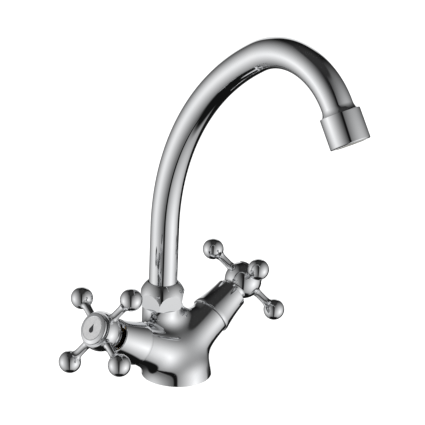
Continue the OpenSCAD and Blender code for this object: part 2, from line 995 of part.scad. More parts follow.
body_casting();
base_seal();
spout_nut();
stop_screw();
spout_tube();
spout_spigot();
spout_orings();
slip_washer();
outlet_collar();
aerator_housing();
aerator_washer();
flow_straightener();
aerator_screen();
bonnet(hot);  // hot_bonnet
fibre_washer(hot);  // hot_fibre_washer
seat_seal(hot);  // hot_seat_seal
fixed_disc(hot);  // hot_fixed_disc
moving_disc(hot);  // hot_moving_disc
spindle(hot);  // hot_spindle
spindle_oring(hot);  // hot_spindle_oring
thrust_washer(hot);  // hot_thrust_washer
spindle_clip(hot);  // hot_spindle_clip
shroud(hot);  // hot_shroud
hub(hot);  // hot_hub
handle_arms(hot);  // hot_handle_arms
handle_screw(hot);  // hot_handle_screw
bezel(hot);  // hot_bezel
index_disc(hot);  // hot_index_disc
bonnet(cold);  // cold_bonnet
fibre_washer(cold);  // cold_fibre_washer
seat_seal(cold);  // cold_seat_seal
fixed_disc(cold);  // cold_fixed_disc
moving_disc(cold);  // cold_moving_disc
spindle(cold);  // cold_spindle
spindle_oring(cold);  // cold_spindle_oring
thrust_washer(cold);  // cold_thrust_washer
spindle_clip(cold);  // cold_spindle_clip
shroud(cold);  // cold_shroud
hub(cold);  // cold_hub
handle_arms(cold);  // cold_handle_arms
handle_screw(cold);  // cold_handle_screw
bezel(cold);  // cold_bezel
index_disc(cold);  // cold_index_disc
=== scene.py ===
# %% [markdown]
# # A chromed basin mixer tap
# The engineering model of the tap is loaded as a fixed frame. It says where every piece is and
# which body it moves with. This script then gives the tap its looks: the cast body with its soft
# blends, the turned and polished pieces, and a finish for everything, down to the washers.

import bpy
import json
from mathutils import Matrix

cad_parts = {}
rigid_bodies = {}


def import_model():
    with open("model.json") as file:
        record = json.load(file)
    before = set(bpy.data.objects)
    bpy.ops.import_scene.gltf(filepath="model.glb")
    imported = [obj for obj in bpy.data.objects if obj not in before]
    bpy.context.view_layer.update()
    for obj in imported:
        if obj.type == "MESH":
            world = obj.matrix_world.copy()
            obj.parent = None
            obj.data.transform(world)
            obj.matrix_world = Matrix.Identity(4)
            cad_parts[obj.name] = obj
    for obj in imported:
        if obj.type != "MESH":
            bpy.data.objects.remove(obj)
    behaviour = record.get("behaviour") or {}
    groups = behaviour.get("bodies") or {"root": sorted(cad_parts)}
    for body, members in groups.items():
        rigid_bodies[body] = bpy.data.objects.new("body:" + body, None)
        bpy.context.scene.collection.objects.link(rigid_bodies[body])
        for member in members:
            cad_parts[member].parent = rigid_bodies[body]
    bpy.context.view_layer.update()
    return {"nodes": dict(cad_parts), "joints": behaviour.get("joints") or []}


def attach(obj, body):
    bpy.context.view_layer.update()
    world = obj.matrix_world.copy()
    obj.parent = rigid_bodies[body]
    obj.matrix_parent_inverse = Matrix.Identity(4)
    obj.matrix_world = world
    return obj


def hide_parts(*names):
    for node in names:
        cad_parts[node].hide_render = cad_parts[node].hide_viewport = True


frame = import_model()
nodes = frame["nodes"]
joints = {joint["name"]: joint for joint in frame["joints"]}

# %% [markdown]
# Blender works in metres, and a tap is easier to think of in millimetres. Outlines are written
# in millimetres, and one constant turns them into metres where a piece is made.

# %% Units and modules
import json
import math

import bpy
from mathutils import Matrix, Vector

MM = 0.001
FULL_TURN = math.tau
print("1 mm is", MM, "m")

# %% [markdown]
# ## Places
# Each turned piece is drawn about its own axis and then moved to its place. There are three
# kinds of axis: the neck's, which stands up, the two valves', which lean out at 30 degrees above
# the deck, and the outlet's, at the end of the bent tube. A place is a matrix whose third
# column is the axis. The valve places start where the axes meet the centre plane, so a distance
# along them reads as a station on the real valve.

# %% Places of the axes
NECK_AXIS = Vector(joints["spout_swivel"]["pos_m"])
NECK = Matrix.Translation((NECK_AXIS.x, NECK_AXIS.y, 0))


def valve_place(joint):
    """The place of a valve axis, from the joint that turns on it."""
    axis = Vector(joint["axis"])
    point = Vector(joint["pos_m"])
    start = point - axis * (point.x / axis.x)
    lean = math.atan2(axis.x, axis.z)
    return Matrix.Translation(start) @ Matrix.Rotation(lean, 4, "Y")


VALVES = {side: valve_place(joints[side + "_turn"]) for side in ("hot", "cold")}
print("valve axes cross at", [round(x / MM, 1) for x in VALVES["hot"].translation], "mm")

# %% [markdown]
# The handles stand at an angle about their axes. The frame says which: the point of a handle's
# arms that lies farthest from the axis is the outer end of one of the four balls.


# %% Places of the handles
def span(node, place):
    """Lowest and highest station of a node along a place's axis, and its largest radius, in mm."""
    inverse = place.inverted()
    points = [inverse @ v.co for v in nodes[node].data.vertices]
    heights = [p.z / MM for p in points]
    return min(heights), max(heights), max(math.hypot(p.x, p.y) for p in points) / MM


def handle_place(side):
    """The valve's place, turned until its X axis lies along one arm of the handle."""
    inverse = VALVES[side].inverted()
    points = [inverse @ v.co for v in nodes[side + "_handle_arms"].data.vertices]
    far = max(points, key=lambda p: math.hypot(p.x, p.y))
    return VALVES[side] @ Matrix.Rotation(math.atan2(far.y, far.x), 4, "Z")


HANDLES = {side: handle_place(side) for side in VALVES}
HUB_LOW, HUB_FRONT, HUB_R = span("hot_hub", VALVES["hot"])
print("hub from", round(HUB_LOW, 1), "to", round(HUB_FRONT, 1), "mm along the axis, radius", HUB_R)

# %% [markdown]
# ## Camera
# The view is from the front left and a little above, through a long lens, so the lines of the
# tap hardly converge. The camera comes first, because every later choice is judged through it.

# %% Camera
CAMERA_PLACE = Vector((-730.8, -732.8, 511.5)) * MM
CAMERA_TURN = math.radians(-46.05)
CAMERA_RISE = math.radians(20.71)
CAMERA_ROLL = math.radians(2.53)
LENS = 138.45


def add_camera():
    """Adds the camera, from its azimuth round the tap, its elevation and its roll."""
    camera = bpy.data.objects.new("camera", bpy.data.cameras.new("camera"))
    bpy.context.scene.collection.objects.link(camera)
    level = math.cos(CAMERA_RISE)
    back = Vector((math.sin(CAMERA_TURN) * level, -math.cos(CAMERA_TURN) * level, math.sin(CAMERA_RISE)))
    right = Vector((0, 0, 1)).cross(back).normalized()
    up = back.cross(right)
    upright = Matrix((right, up, back)).transposed().to_4x4()
    camera.matrix_world = Matrix.Translation(CAMERA_PLACE) @ upright @ Matrix.Rotation(CAMERA_ROLL, 4, "Z")
    camera.data.lens = LENS
    camera.data.clip_start = 0.01
    bpy.context.scene.camera = camera
    return camera


camera = add_camera()
print("camera", round(CAMERA_PLACE.length, 3), "m from the base")

# %% [markdown]
# ## Building turned pieces
# Most of a tap is turned on a lathe: one outline, spun about an axis. In Blender that is a
# single point, extruded from one corner of the outline to the next and then spun a full turn.
# Drawing a mesh by hand from computed vertices would work too, but the extrude and spin tools do
# the same as the lathe does, and they leave the outline in one readable list.


# %% Selection helpers
def deselect():
    """Leaves nothing selected, because operators act on all that is."""
    if bpy.context.object and bpy.context.object.mode != "OBJECT":
        bpy.ops.object.mode_set(mode="OBJECT")
    bpy.ops.object.select_all(action="DESELECT")


def activate(piece):
    """Makes one piece the only selected one, and the active one."""
    deselect()
    piece.select_set(True)
    bpy.context.view_layer.objects.active = piece


def select_where(piece, test, kind="faces"):
    """In edit mode, selects the faces, edges or vertices whose middle passes a test."""
    bpy.ops.mesh.select_all(action="DESELECT")
    bpy.ops.mesh.select_mode(type={"faces": "FACE", "edges": "EDGE", "vertices": "VERT"}[kind])
    bpy.ops.object.mode_set(mode="OBJECT")
    mesh = piece.data
    if kind == "faces":
        for face in mesh.polygons:
            face.select = test(face.center, face.normal)
    elif kind == "vertices":
        for vertex in mesh.vertices:
            vertex.select = test(vertex.co, vertex.normal)
    else:
        for edge in mesh.edges:
            a, b = (mesh.vertices[k].co for k in edge.vertices)
            edge.select = test((a + b) / 2, (b - a).normalized())
    bpy.ops.object.mode_set(mode="EDIT")


def apply_modifier(piece, kind, **settings):
    """Adds one modifier, sets it and applies it."""
    activate(piece)
    modifier = piece.modifiers.new(kind.lower(), kind)
    for name, value in settings.items():
        setattr(modifier, name, value)
    bpy.ops.object.modifier_apply(modifier=modifier.name)


def settle(piece, place):
    """Moves a piece drawn about the origin to its place, and leaves its object untransformed."""
    activate(piece)
    piece.matrix_world = place
    bpy.ops.object.transform_apply(location=True, rotation=True, scale=True)


print("selection helpers ready")

# %% [markdown]
# An outline is a list of (radius, height) pairs in millimetres. Round stretches come from an
# arc, so that the list keeps only the corners that shape the piece.


# %% The lathe
SMOOTH_ANGLE = math.radians(32)
LATHE_STEPS = 120
WELD = 0.002 * MM


def arc(centre_r, centre_z, radius, start, end, steps=12):
    """Points of an arc in the outline's plane, from one angle in degrees to another."""
    turn = [math.radians(start + (end - start) * k / steps) for k in range(steps + 1)]
    return [(centre_r + radius * math.cos(a), centre_z + radius * math.sin(a)) for a in turn]


def turned(name, outline, place, steps=LATHE_STEPS):
    """A turned piece: its outline is extruded from point to point and spun a full turn."""
    deselect()
    bpy.ops.mesh.primitive_plane_add(size=MM, location=(0, 0, 0))
    piece = bpy.context.object
    piece.name = name
    bpy.ops.object.mode_set(mode="EDIT")
    bpy.ops.mesh.select_all(action="SELECT")
    bpy.ops.mesh.merge(type="CENTER")
    points = [Vector((r, 0, z)) * MM for r, z in outline]
    bpy.ops.transform.translate(value=points[0])
    for here, there in zip(points, points[1:]):
        bpy.ops.mesh.extrude_region_move(TRANSFORM_OT_translate={"value": there - here})
    bpy.ops.mesh.select_all(action="SELECT")
    bpy.ops.mesh.spin(steps=steps, angle=FULL_TURN, center=(0, 0, 0), axis=(0, 0, 1))
    bpy.ops.mesh.select_all(action="SELECT")
    bpy.ops.mesh.remove_doubles(threshold=WELD)
    bpy.ops.mesh.normals_make_consistent(inside=False)
    bpy.ops.object.mode_set(mode="OBJECT")
    settle(piece, place)
    bpy.ops.object.shade_smooth_by_angle(angle=SMOOTH_ANGLE)
    return piece


def closed(outline):
    """The outline with its first point repeated at the end, for a ring-shaped piece."""
    return outline + outline[:1]


print("the lathe makes", LATHE_STEPS, "steps a turn")


# %% [markdown]
# A finished piece is booked in with one call: the body it moves with, the engineering node it
# stands for, and the slot of its finish. The finish itself comes later, by slot.

# %% Booking a piece in
made = {}


def book(piece, body, slot, *stands_for):
    """Hangs a piece on the body it moves with, hides the nodes it stands for and notes the slot of its finish.
    """
    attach(piece, body)
    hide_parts(*stands_for)
    made[piece.name] = slot
    print(f"{piece.name}: {len(piece.data.polygons)} faces")
    return piece


# %% [markdown]
# ## The cast body
# The real body is one brass casting, ground and polished until its arms, neck and base run into
# each other without an edge. Subdivision cages give such blends, but a cage with four branches
# needs careful topology. Here the rough shapes are set into each other, as the pattern maker does
# with wood, and a voxel remesh turns them into one skin. Smoothing that skin rounds every inner
# corner, as fillet wax and the polishing belt do. The rough shapes are longer than the casting,
# so the faces that the milling cutter leaves are cut afterwards and stay crisp.

# %% Rough shapes of the body
BASE_R = 25.0
WALL_R = 23.5
WALL_TOP = 5.0
SHOULDER_R = 13.0
APEX_Z = 35.0
NECK_TOP = 45.5
NECK_R = 14.2
ARM_MOUTH = 42.0
ARM_MOUTH_R = 14.2
ARM_FLARE = 7.5
SPARE = 8.0


def arm_outline():
    """Half the arm's section: it swells towards the body and runs past its mouth."""
    stations = [ARM_MOUTH * k / 14 for k in range(15)]
    swell = [(ARM_MOUTH_R + ARM_FLARE * ((ARM_MOUTH - s) / ARM_MOUTH) ** 2, s) for s in stations]
    return [(0, 0)] + swell + [(ARM_MOUTH_R, ARM_MOUTH + SPARE), (0, ARM_MOUTH + SPARE)]


def base_outline():
    """Half the base's section: a wall that draws in a little, a round shoulder and a cone."""
    wall = [(0, -SPARE), (BASE_R, -SPARE), (BASE_R, 0), (24.2, 2.5), (WALL_R + 0.2, WALL_TOP)]
    shoulder = arc(WALL_R - SHOULDER_R, WALL_TOP, SHOULDER_R, 6, 48, 10)
    return wall + shoulder + [(0, APEX_Z)]


def neck_outline():
    """Half the neck's section, with a round heel inside the base."""
    heel = arc(0, 16, NECK_R, -90, 0, 10)
    return heel + [(NECK_R, NECK_TOP + SPARE), (0, NECK_TOP + SPARE)]


def joined(shapes):
    """Joins shapes as one object, still set into each other."""
    activate(shapes[0])
    for shape in shapes[1:]:
        shape.select_set(True)
    bpy.ops.object.join()
    return shapes[0]


body = joined([
    turned("body_casting_skin", base_outline(), Matrix.Identity(4)),
    turned("rough_hot_arm", arm_outline(), VALVES["hot"]),
    turned("rough_cold_arm", arm_outline(), VALVES["cold"]),
])
print("base and arms:", len(body.data.polygons), "faces")

# %% [markdown]
# The fillets come as a ball rolls along the inner corners. The skin is first grown outwards by
# the ball's radius, which closes the corners, and is then drawn back by the same amount, step by
# step with a fresh remesh each time. Outer curves come back as they were, and every inner corner
# keeps the ball's roundness. A large ball rolls between base and arms, and then a small one
# between them and the neck. A last smoothing takes out the steps of the remesh.

# %% One skin with rolled fillets
VOXEL = 0.8 * MM
WIDE_FILLET = 11.0
NECK_FILLET = 7.0
DRAW_STEP = 1.5


def remeshed(piece):
    apply_modifier(piece, "REMESH", mode="VOXEL", voxel_size=VOXEL)


def grown(piece, distance):
    """Moves the skin along its normals, outwards or inwards, by a distance in mm."""
    apply_modifier(piece, "DISPLACE", strength=distance * MM, mid_level=0.0, direction="NORMAL")


def roll_fillets(piece, radius):
    """Rounds every inner corner to a radius in mm."""
    remeshed(piece)
    apply_modifier(piece, "SMOOTH", factor=0.5, iterations=4)
    grown(piece, radius)
    remeshed(piece)
    steps = math.ceil(radius / DRAW_STEP)
    for _ in range(steps):
        apply_modifier(piece, "SMOOTH", factor=0.5, iterations=4)
        grown(piece, -radius / steps)
        remeshed(piece)


roll_fillets(body, WIDE_FILLET)
body = joined([body, turned("rough_neck", neck_outline(), NECK)])
roll_fillets(body, NECK_FILLET)
apply_modifier(body, "SMOOTH", factor=0.5, iterations=30)
print("skin:", len(body.data.polygons), "faces")


# %% [markdown]
# Now the milled faces: the foot, the two mouths and the top of the neck. Bisect cuts the mesh by
# a plane, drops what lies beyond it and fills the cut with one face.

# %% Milled faces
def face_off(piece, place, station):
    """Cuts a piece off square at a station along a place's axis and fills the cut."""
    activate(piece)
    bpy.ops.object.mode_set(mode="EDIT")
    bpy.ops.mesh.select_all(action="SELECT")
    axis = place.to_3x3() @ Vector((0, 0, 1))
    point = place @ Vector((0, 0, station * MM))
    bpy.ops.mesh.bisect(plane_co=point, plane_no=axis, use_fill=True, clear_outer=True)
    bpy.ops.object.mode_set(mode="OBJECT")


DOWN = Matrix.Rotation(math.pi, 4, "X")
for side in VALVES:
    face_off(body, VALVES[side], ARM_MOUTH)
face_off(body, NECK, NECK_TOP)
face_off(body, DOWN, 0)
print("after milling:", len(body.data.polygons), "faces")


# %% [markdown]
# The bores are cut with boolean modifiers, one cutter for each drill or tap. They are inside, but
# the valves sit in them, and the holes of the fixing stud and the two hoses show from below.

# %% Bores of the body
def drill(name, radius, low, high, place, sides=64):
    """A round cutter between two stations of a place."""
    deselect()
    middle = Matrix.Translation((0, 0, (low + high) / 2 * MM))
    bpy.ops.mesh.primitive_cylinder_add(vertices=sides, radius=radius * MM, depth=(high - low) * MM)
    cutter = bpy.context.object
    cutter.name = name
    settle(cutter, place @ middle)
    return cutter


def combine(piece, other, operation="DIFFERENCE"):
    """Cuts a piece with another one, or welds them, and removes the other."""
    apply_modifier(piece, "BOOLEAN", object=other, operation=operation, solver="MANIFOLD")
    bpy.data.objects.remove(other)


STUB_R, STUB_TOP = 11.4, 53.5
combine(body, drill("stub", STUB_R, NECK_TOP - 2, STUB_TOP, NECK), "UNION")
for side, across in (("hot", -9), ("cold", 9)):
    combine(body, drill("thread", 10.4, 31, 45, VALVES[side]))
    combine(body, drill("chamber", 9.3, 17, 32, VALVES[side]))
    combine(body, drill("inlet", 4.5, -1, 10, Matrix.Translation(Vector((across, 3, 0)) * MM)))
combine(body, drill("neck_bore", 8.45, 20, 60, NECK))
combine(body, drill("stud_hole", 3.4, -1, 14, Matrix.Translation(Vector((0, -12, 0)) * MM)))
seal_groove = turned("seal_groove", closed([(19.5, -1), (22.5, -1), (22.5, 2), (19.5, 2)]), Matrix.Identity(4))
combine(body, seal_groove)
print("drilled body:", len(body.data.polygons), "faces")

# %% [markdown]
# The stop screw that keeps the spout from turning too far sits in the neck, on the left below
# the nut. Its hole is drilled square to the neck.

# %% Hole of the stop screw
STOP_Z = 42.0
STOP_TURN = math.radians(206)
STOP = NECK @ Matrix.Translation((0, 0, STOP_Z * MM)) @ Matrix.Rotation(STOP_TURN, 4, "Z")
STOP = STOP @ Matrix.Rotation(math.pi / 2, 4, "Y")
combine(body, drill("stop_hole", 2.5, 9, 20, STOP))
activate(body)
bpy.ops.object.shade_smooth_by_angle(angle=SMOOTH_ANGLE)
book(body, "body", "chrome_casting", "body_casting")

# %% [markdown]
# The stop screw itself is a headless screw with a hexagon socket. A turned blank gets its socket
# from a six-sided cutter.

# %% Stop screw
STOP_FACE = 13.9
blank = [(0, 7.2), (1.5, 7.2), (1.5, 8.7), (2.4, 8.8), (2.3, STOP_FACE - 0.5), (1.95, STOP_FACE), (0, STOP_FACE)]
screw = turned("stop_screw_socket", blank, STOP, steps=48)
combine(screw, drill("key", 1.2, STOP_FACE - 2.4, STOP_FACE + 1, STOP, sides=6))
activate(screw)
bpy.ops.object.shade_smooth_by_angle(angle=SMOOTH_ANGLE)
book(screw, "body", "chrome_small", "stop_screw")

# %% [markdown]
# ## The spout nut
# The nut over the neck is turned to a ball, and then six flats are milled on it, so each flat
# ends in an arch. The same order works here: a turned ball with its bore, and six bisect cuts.

# %% Spout nut
NUT_BALL_R = 16.3
NUT_BALL_Z = 51.1
NUT_TOP = 63.5
NUT_ROOF = 57.2
NUT_FLAT = 13.4
NUT_LEAN = math.radians(8)
NUT_TURN = 40
NUT_EDGE = 0.12


def nut_outline():
    """Half the nut's section: a ball with a chamfered foot, the thread and the tube's hole."""
    chamfer = 1.1
    low = math.degrees(math.asin((NECK_TOP + chamfer - NUT_BALL_Z) / NUT_BALL_R))
    high = math.degrees(math.asin((NUT_TOP - NUT_BALL_Z) / NUT_BALL_R))
    ball = arc(0, NUT_BALL_Z, NUT_BALL_R, low, high, 40)
    return closed([(STUB_R, NECK_TOP), (NECK_R + 0.1, NECK_TOP)] + ball + [(10.3, NUT_TOP - 0.4), (10.3, NUT_ROOF), (STUB_R, NUT_ROOF)])


def mill_flats(nut):
    """Cuts the six flats, each leaning out as it rises."""
    for k in range(6):
        turn = Matrix.Rotation(math.radians(NUT_TURN + 30 + 60 * k), 4, "Z")
        foot = NECK @ turn @ Matrix.Translation(Vector((NUT_FLAT, 0, NECK_TOP)) * MM)
        face_off(nut, foot @ Matrix.Rotation(math.pi / 2 + NUT_LEAN, 4, "Y"), 0)


nut = turned("spout_nut_polished", nut_outline(), NECK, steps=240)
mill_flats(nut)
activate(nut)
bpy.ops.object.shade_smooth_by_angle(angle=math.radians(14))
book(nut, "body", "chrome_turned", "spout_nut")

# %% [markdown]
# ## The spout
# A real swan neck is one tube pulled round two bending formers: a long bow and then a tighter
# crook. A curve with a bevel would do, but spin works as the bender does. A ring of vertices is
# extruded up the straight part and then spun about the centre of each former. The wall gets its
# thickness from a Solidify modifier.

# %% Spout tube
TUBE_R, TUBE_WALL = 10.0, 1.0
TUBE_FOOT = 57.1
BEND_Z = 103.5
BOW_R, BOW_ANGLE = 161.5, 59.25
CROOK_R, CROOK_ANGLE = 48.5, 89.5
NECK_Y = NECK_AXIS.y / MM
BOW_CENTRE = Vector((0, NECK_Y - BOW_R, BEND_Z))


def on_bow(radius, angle, centre):
    """A point in the spout's plane, at an angle round the centre of a bend."""
    turn = math.radians(angle)
    return centre + radius * Vector((0, math.cos(turn), math.sin(turn)))


CROOK_CENTRE = on_bow(BOW_R - CROOK_R, BOW_ANGLE, BOW_CENTRE)
END_ANGLE = BOW_ANGLE + CROOK_ANGLE
TUBE_END = on_bow(CROOK_R, END_ANGLE, CROOK_CENTRE)


def bend(angle, centre, steps):
    """Spins the selected ring about the centre of a former. The spin tool turns clockwise."""
    bpy.ops.mesh.spin(steps=steps, angle=-math.radians(angle), center=centre * MM, axis=(1, 0, 0))


def bent_tube():
    """The spout tube, from the foot in the nut to the end over the basin."""
    deselect()
    foot = (0, NECK_AXIS.y, TUBE_FOOT * MM)
    bpy.ops.mesh.primitive_circle_add(vertices=96, radius=TUBE_R * MM, location=foot)
    tube = bpy.context.object
    tube.name = "spout_tube_polished"
    bpy.ops.object.transform_apply(location=True, rotation=True, scale=True)
    bpy.ops.object.mode_set(mode="EDIT")
    bpy.ops.mesh.select_all(action="SELECT")
    rise = Vector((0, 0, (BEND_Z - TUBE_FOOT) * MM / 8))
    for _ in range(8):
        bpy.ops.mesh.extrude_region_move(TRANSFORM_OT_translate={"value": rise})
    bend(BOW_ANGLE, BOW_CENTRE, 40)
    bend(CROOK_ANGLE, CROOK_CENTRE, 48)
    bpy.ops.mesh.select_all(action="SELECT")
    bpy.ops.mesh.remove_doubles(threshold=WELD)
    bpy.ops.mesh.normals_make_consistent(inside=False)
    bpy.ops.object.mode_set(mode="OBJECT")
    apply_modifier(tube, "SOLIDIFY", thickness=TUBE_WALL * MM, offset=-1)
    bpy.ops.object.shade_smooth_by_angle(angle=SMOOTH_ANGLE)
    return tube


book(bent_tube(), "spout", "chrome_tube", "spout_tube")
print("the tube ends at", [round(x, 1) for x in TUBE_END], "mm")

# %% [markdown]
# ## The outlet
# A flared collar is brazed to the end of the tube, and the aerator's housing screws onto it. The
# two show as a soft cone and a plain cylinder with a rounded lower edge.

# %% Outlet collar and aerator housing
OUTLET = Matrix.Translation(TUBE_END * MM) @ Matrix.Rotation(math.radians(END_ANGLE), 4, "X")
FLARE_LEN, FLARE_R = 4.4, 11.5
HOUSING_R, HOUSING_LEN = 12.9, 20.0
HOUSING_END = FLARE_LEN + HOUSING_LEN


def collar_outline():
    """Half the collar's section: a plug in the tube, the flare and the thread."""
    flare = [(TUBE_R + (FLARE_R - TUBE_R) * (k / 10) ** 2, FLARE_LEN * k / 10) for k in range(11)]
    plug = [(7.4, -6), (8.9, -6), (8.9, 0)]
    thread = [(11, FLARE_LEN), (11, 11.4), (7.4, 11.4)]
    return closed(plug + flare + thread)


def housing_outline():
    """Half the housing's section: a rounded upper edge, the wall, the lip and the inside."""
    outside = arc(HOUSING_R - 0.45, FLARE_LEN + 0.45, 0.45, -90, 0, 6)
    lower = arc(HOUSING_R - 1, HOUSING_END - 1, 1, 0, 90, 8)
    inside = [(9.6, HOUSING_END), (9.6, HOUSING_END - 1), (10.4, HOUSING_END - 1), (10.4, 14.4)]
    return closed([(11, FLARE_LEN)] + outside + lower + inside + [(11, 14.4)])


book(turned("outlet_collar_polished", collar_outline(), OUTLET), "spout", "chrome_turned", "outlet_collar")
book(turned("aerator_housing_polished", housing_outline(), OUTLET), "spout", "chrome_turned", "aerator_housing")

# %% [markdown]
# ## Shrouds and handles
# The two sides are the same pieces, so each is one function that takes the side. A shroud is a
# slightly hollow cone with a fine lip that grips the arm's mouth.

# %% Shrouds
SHROUD_LIP_R, SHROUD_MOUTH_R = 15.0, 12.0
SHROUD_LOW, SHROUD_TOP, _ = span("hot_shroud", VALVES["hot"])
SHROUD_SAG = 0.5


def shroud_outline():
    """Half the shroud's section: lip, hollow side, rolled mouth and the inner web."""
    foot = ARM_MOUTH + 1
    edge = 0.7
    reach = SHROUD_TOP - edge - foot
    share = [k / 16 for k in range(17)]
    bow = [4 * SHROUD_SAG * t * (1 - t) for t in share]
    side = [(SHROUD_LIP_R + (SHROUD_MOUTH_R - SHROUD_LIP_R) * t - b, foot + reach * t)
            for t, b in zip(share, bow)]
    lip = arc(SHROUD_LIP_R - 0.3, SHROUD_LOW + 0.3, 0.3, -90, 0, 4)
    mouth = arc(SHROUD_MOUTH_R - edge, SHROUD_TOP - edge, edge, 10, 90, 6)
    inside = [(10.6, SHROUD_TOP - 0.4), (10.6, 51.8), (8, 51.8), (8, 48.8), (13.0, 48.8), (13.0, ARM_MOUTH)]
    return closed([(14.22, SHROUD_LOW)] + lip + side + mouth + inside + [(14.22, ARM_MOUTH)])


for side in VALVES:
    shroud = turned(side + "_shroud_polished", shroud_outline(), VALVES[side])
    book(shroud, "body", "chrome_turned", side + "_shroud")

# %% [markdown]
# The hub is a ball with a short collar behind it and a recess in front for the index cap. A
# small groove where the collar leaves the ball catches the light as the turning tool leaves it.

# %% Hubs
HUB_S = HUB_FRONT - 5.6
ROD_S = HUB_S + 0.5
COLLAR_R = 9.0
BEZEL_BORE_R, BEZEL_SEAT = 9.2, HUB_FRONT - 3


def hub_outline():
    """Half the hub's section, from the collar over the ball to the recess and the bore."""
    start = math.degrees(math.asin(-math.sqrt(HUB_R ** 2 - (COLLAR_R + 0.5) ** 2) / HUB_R))
    end = math.degrees(math.asin((HUB_FRONT - HUB_S) / HUB_R))
    collar = [(7.2, HUB_LOW)] + arc(COLLAR_R - 0.4, HUB_LOW + 0.4, 0.4, -90, 0, 4)
    root = HUB_S + HUB_R * math.sin(math.radians(start))
    neck = [(COLLAR_R, root - 1.2), (COLLAR_R + 0.1, root - 0.5), (COLLAR_R + 0.5, root)]
    ball = arc(0, HUB_S, HUB_R, start, end, 44)
    recess = [(BEZEL_BORE_R, HUB_FRONT), (BEZEL_BORE_R, BEZEL_SEAT), (4.5, BEZEL_SEAT), (4.5, HUB_S - 3)]
    bore = [(3.4, HUB_S - 3), (3.4, 61.8), (7.2, 61.8 + 0.001)]
    return closed(collar + neck + ball[1:] + recess + bore)


for side in HANDLES:
    hub = turned(side + "_hub_polished", hub_outline(), HANDLES[side])
    book(hub, side + "_handle", "chrome_handle", side + "_hub")

# %% [markdown]
# Each arm is turned from one bar: a thread that screws into the hub, a small collar, a slim rod
# and a ball. One arm is modelled, and the other three are copies, each with its own mesh, turned
# by a quarter about the handle's axis.

# %% Handle arms
BALL_R, BALL_REACH = 7.6, 31.0
ROD_R = 2.8
ROD_SEAT = 13.0


def arm_piece_outline():
    """Half an arm's section, from the thread in the hub to the far side of the ball."""
    flare_r = ROD_R + 1.0
    foot = BALL_REACH - math.sqrt(BALL_R ** 2 - flare_r ** 2)
    thread = [(0, 9.6), (2.5, 9.6), (2.5, ROD_SEAT)]
    collar = [(3.3, ROD_SEAT)] + arc(3.2, ROD_SEAT + 0.35, 0.12, 0, 90, 3)
    shoulder = [(ROD_R + 0.18, ROD_SEAT + 1.2), (ROD_R, ROD_SEAT + 2.4)]
    root = [(ROD_R, foot - 3.6), (ROD_R + 0.1, foot - 2.2), (ROD_R + 0.32, foot - 1.2),
            (ROD_R + 0.62, foot - 0.5), (flare_r, foot)]
    start = math.degrees(math.asin((foot - BALL_REACH) / BALL_R))
    return thread + collar + shoulder + root + arc(0, BALL_REACH, BALL_R, start, 90, 40)[1:]


def copy_turned(piece, name, place, angle):
    """A copy with its own mesh, turned about a place's axis and applied."""
    copy = piece.copy()
    copy.data = piece.data.copy()
    copy.name = name
    bpy.context.scene.collection.objects.link(copy)
    about = place @ Matrix.Rotation(angle, 4, "Z") @ place.inverted()
    settle(copy, about)
    return copy


ARM = Matrix.Translation((0, 0, ROD_S * MM)) @ Matrix.Rotation(math.pi / 2, 4, "Y")


def arm_set(side):
    """The four arms of one handle."""
    first = turned(side + "_arm_1", arm_piece_outline(), HANDLES[side] @ ARM, steps=96)
    others = [copy_turned(first, f"{side}_arm_{k + 1}", HANDLES[side], k * math.pi / 2) for k in (1, 2, 3)]
    return [first] + others


for side in HANDLES:
    for arm in arm_set(side):
        book(arm, side + "_handle", "chrome_handle", side + "_handle_arms")

# %% [markdown]
# The index cap is two pieces: a chromed bezel with a sloping face, and a pale disc inside it. A
# fine step runs round the disc, and its face is very slightly domed so that it doesn't go dead
# flat in the light.

# %% Bezels and index discs
BEZEL_R, INDEX_R = 10.9, 7.8
_, INDEX_TOP, _ = span("hot_index_disc", VALVES["hot"])
BEZEL_TOP = INDEX_TOP - 0.3


def bezel_outline():
    """Half the bezel's section: plug, undercut, wall, rounded rim and sloping face."""
    plug = [(7.7, BEZEL_SEAT + 0.5), (BEZEL_BORE_R, BEZEL_SEAT + 0.5), (BEZEL_BORE_R, HUB_FRONT)]
    foot = arc(BEZEL_R - 0.3, HUB_FRONT + 0.3, 0.3, -90, 0, 4)
    rim = arc(BEZEL_R - 0.9, BEZEL_TOP - 1.5, 0.9, 0, 68, 8)
    inner = [(INDEX_R + 0.5, BEZEL_TOP), (INDEX_R + 0.1, BEZEL_TOP - 0.1), (INDEX_R + 0.1, BEZEL_TOP - 1)]
    return closed(plug + foot + rim + inner + [(7.7, BEZEL_TOP - 1)])


def index_outline():
    """Half the disc's section: a small step near the edge and a shallow dome."""
    dome = [(7.0 * k / 8, INDEX_TOP - 0.12 * (k / 8) ** 2) for k in range(8, -1, -1)]
    return [(0, BEZEL_TOP - 1), (INDEX_R, BEZEL_TOP - 1), (INDEX_R, BEZEL_TOP + 0.1),
            (INDEX_R - 0.2, BEZEL_TOP + 0.2), (7.2, BEZEL_TOP + 0.2)] + dome


for side in HANDLES:
    bezel = turned(side + "_bezel_polished", bezel_outline(), HANDLES[side])
    book(bezel, side + "_handle", "chrome_handle", side + "_bezel")
    disc = turned(side + "_index_enamel", index_outline(), HANDLES[side])
    book(disc, side + "_handle", "index_enamel", side + "_index_disc")

# %% [markdown]
# ## Finishes
# A finish is a small network of nodes. Two classes keep it readable. A Socket stands for a value
# in the network, and the usual signs on it add Math nodes. A Finish is the network itself, and
# its one method adds any other node.


